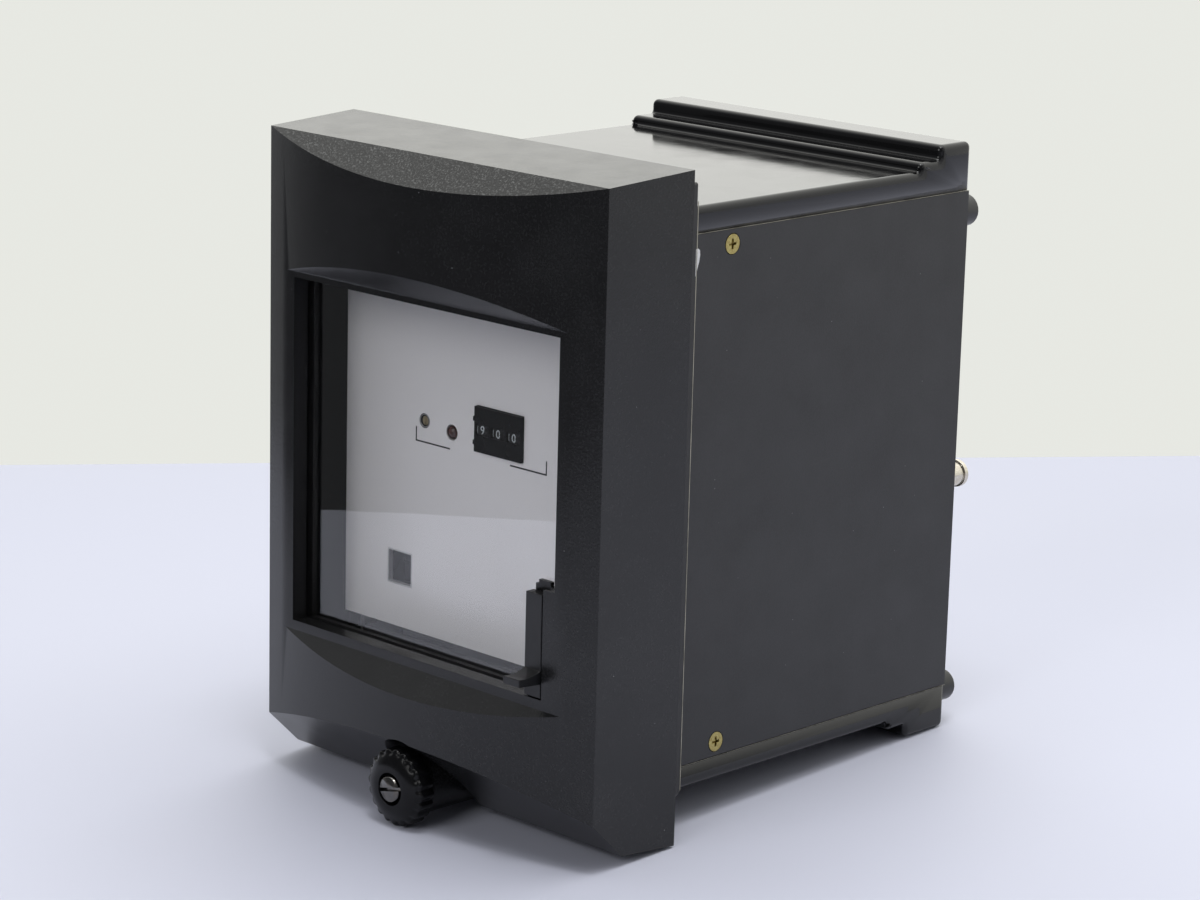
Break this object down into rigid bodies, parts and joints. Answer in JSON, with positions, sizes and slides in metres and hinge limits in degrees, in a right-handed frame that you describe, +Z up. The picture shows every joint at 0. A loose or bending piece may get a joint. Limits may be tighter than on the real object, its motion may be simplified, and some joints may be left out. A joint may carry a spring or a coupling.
{
  "type": "protection relay",
  "caption": "Draw-out panel protection relay: black case with mounting flange, plug-in chassis with dial switch and target, bowed cover with window, reset slide and thumbscrew.",
  "frame": {"origin": "the middle of the relay's outline in plan, at the height of its lowest point, the thumbscrew knob's rim", "axes": "+Z up, +Y from the cover to the rear of the case, +X to the right as seen from the front"},
  "size_m": [0.169, 0.2302, 0.2388],
  "materials": {
    "flange_black": "black moulded frame, satin",
    "cap_black": "black, glossy, soft edges",
    "panel_paint": "satin black sheet, bare light edges",
    "rear_moulding": "black moulding, fine texture",
    "rail_nylon": "natural nylon",
    "contact_phenolic": "dark phenolic moulding",
    "cradle_zinc": "zinc-plated sheet",
    "plate_silver": "light silver-grey printed sheet",
    "dial_black": "black moulding",
    "shaft_steel": "turned steel",
    "pot_blue": "blue moulded body",
    "lamp_red": "dark red lens, unlit",
    "board_green": "green laminate with lacquer",
    "relay_black": "black moulded case",
    "capacitor_sleeve": "dark blue sleeve",
    "core_iron": "varnished steel laminations",
    "winding_tape": "amber tape over the winding",
    "wheel_black": "black drum with white digits",
    "adjuster_brass": "turned brass",
    "flag_black": "black leaf",
    "plug_black": "black moulding with plated blades",
    "cover_moulding": "black moulding, fine matt texture",
    "clear_pane": "clear, glossy",
    "slide_black": "black, satin",
    "knob_black": "black, scalloped rim",
    "screw_steel": "plated steel, slotted",
    "yellow_zinc": "yellow zinc plating",
    "post_black": "black round post",
    "terminal_nickel": "nickel plating"
  },
  "bodies": {
    "case": {"mounting_flange": "flange_black", "case_top_cap": "cap_black", "case_bottom_cap": "cap_black", "case_side_left": "panel_paint", "case_side_right": "panel_paint", "rear_panel": "rear_moulding", "guide_rail_left": "rail_nylon", "guide_rail_right": "rail_nylon", "case_contact_block": "contact_phenolic", "side_screw_1": "yellow_zinc", "rear_post_1": "post_black", "side_screw_2": "yellow_zinc", "rear_post_2": "post_black", "side_screw_3": "yellow_zinc", "rear_post_3": "post_black", "side_screw_4": "yellow_zinc", "rear_post_4": "post_black", "terminal_screw_01": "terminal_nickel", "terminal_screw_02": "terminal_nickel", "terminal_screw_03": "terminal_nickel", "terminal_screw_04": "terminal_nickel", "terminal_screw_05": "terminal_nickel", "terminal_screw_06": "terminal_nickel", "terminal_screw_07": "terminal_nickel", "terminal_screw_08": "terminal_nickel", "terminal_screw_09": "terminal_nickel", "terminal_screw_10": "terminal_nickel", "rear_stud_1": "terminal_nickel", "rear_stud_2": "terminal_nickel"},
    "chassis": {"cradle": "cradle_zinc", "front_plate": "plate_silver", "dial_housing": "dial_black", "dial_shaft": "shaft_steel", "pickup_pot": "pot_blue", "indicator_lamp": "lamp_red", "target_housing": "dial_black", "chassis_contact_block": "contact_phenolic", "logic_board": "board_green", "power_board": "board_green", "output_relay_1": "relay_black", "output_relay_2": "relay_black", "capacitor_1": "capacitor_sleeve", "capacitor_2": "capacitor_sleeve", "transformer_core": "core_iron", "transformer_winding": "winding_tape"},
    "dial_first": {"dial_wheel_1": "wheel_black"},
    "dial_second": {"dial_wheel_2": "wheel_black"},
    "dial_third": {"dial_wheel_3": "wheel_black"},
    "adjuster": {"pickup_adjuster": "adjuster_brass"},
    "flag": {"target_flag": "flag_black"},
    "plug": {"connection_plug": "plug_black"},
    "front_cover": {"cover": "cover_moulding", "window_pane": "clear_pane", "pane_retainer": "rear_moulding"},
    "slide": {"reset_slide": "slide_black"},
    "thumbscrew": {"thumbscrew_knob": "knob_black", "thumbscrew_screw": "screw_steel"}
  },
  "joints": [
    {"name": "chassis_drawout", "type": "slide", "parent": "case", "child": "chassis", "axis": [0, -1, 0], "range_m": [0, 0.15]},
    {"name": "cover_removal", "type": "slide", "parent": "chassis", "child": "front_cover", "axis": [0, -1, 0], "range_m": [0, 0.06]},
    {"name": "thumbscrew_turn", "type": "hinge", "parent": "front_cover", "child": "thumbscrew", "pos_m": [0, -0.1125, 0.014], "axis": [0, -1, 0], "continuous": true},
    {"name": "reset_lift", "type": "slide", "parent": "front_cover", "child": "slide", "axis": [0, 0, 1], "range_m": [0, 0.008]},
    {"name": "plug_pull", "type": "slide", "parent": "chassis", "child": "plug", "axis": [0, -1, 0], "range_m": [0, 0.013]},
    {"name": "adjuster_turn", "type": "hinge", "parent": "chassis", "child": "adjuster", "pos_m": [-0.0285, -0.0711, 0.1353], "axis": [0, -1, 0], "range_deg": [-140, 140]},
    {"name": "flag_turn", "type": "hinge", "parent": "chassis", "child": "flag", "pos_m": [-0.0405, -0.0646, 0.0785], "axis": [1, 0, 0], "range_deg": [0, 180]},
    {"name": "dial_first_turn", "type": "hinge", "parent": "chassis", "child": "dial_first", "pos_m": [0.00207, -0.0683, 0.1375], "axis": [1, 0, 0], "continuous": true},
    {"name": "dial_second_turn", "type": "hinge", "parent": "chassis", "child": "dial_second", "pos_m": [0.0099, -0.0683, 0.1375], "axis": [1, 0, 0], "continuous": true},
    {"name": "dial_third_turn", "type": "hinge", "parent": "chassis", "child": "dial_third", "pos_m": [0.01773, -0.0683, 0.1375], "axis": [1, 0, 0], "continuous": true}
  ]
}
